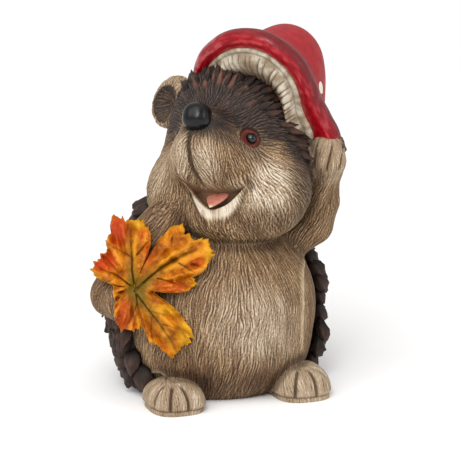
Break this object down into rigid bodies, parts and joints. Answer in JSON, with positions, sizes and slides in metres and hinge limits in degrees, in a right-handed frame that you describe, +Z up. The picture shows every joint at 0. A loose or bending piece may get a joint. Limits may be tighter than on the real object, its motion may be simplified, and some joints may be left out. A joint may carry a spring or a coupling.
{
  "type": "hedgehog garden figurine",
  "caption": "Painted cast-resin garden figurine of a laughing hedgehog that wears a toadstool cap and holds a maple leaf.",
  "frame": {"origin": "on the floor, under the middle of the belly", "axes": "+Z up, the belly faces -Y, the figure's own left hand is on +X"},
  "size_m": [0.2, 0.1582, 0.2818],
  "materials": {
    "cast_fur": "carved fur, brown wash under a dry-brushed cream",
    "cast_pale": "carved fur, mostly dry-brushed cream",
    "spine_paint": "dark brown with a reddish dry-brush",
    "tongue_paint": "satin salmon pink",
    "nose_paint": "satin black",
    "eye_bead": "polished black bead",
    "cap_gloss": "glossy red",
    "gill_paint": "cream with a brown wash between the pleats",
    "leaf_paint": "satin orange, shaded with red, yellow and olive"
  },
  "bodies": {
    "root": {"trunk": "cast_fur", "head": "cast_fur", "snout": "cast_pale", "lower_jaw": "cast_pale", "tongue": "tongue_paint", "nose": "nose_paint", "eye_left": "eye_bead", "eye_right": "eye_bead", "ear_right": "cast_fur", "foot_left": "cast_pale", "foot_right": "cast_pale", "arm_left": "cast_fur", "arm_right": "cast_fur", "paw_left": "cast_pale", "paw_right": "cast_pale", "cap": "cap_gloss", "cap_gills": "gill_paint", "maple_leaf": "leaf_paint", "spines_body": "spine_paint", "spines_head": "spine_paint"}
  },
  "joints": []
}
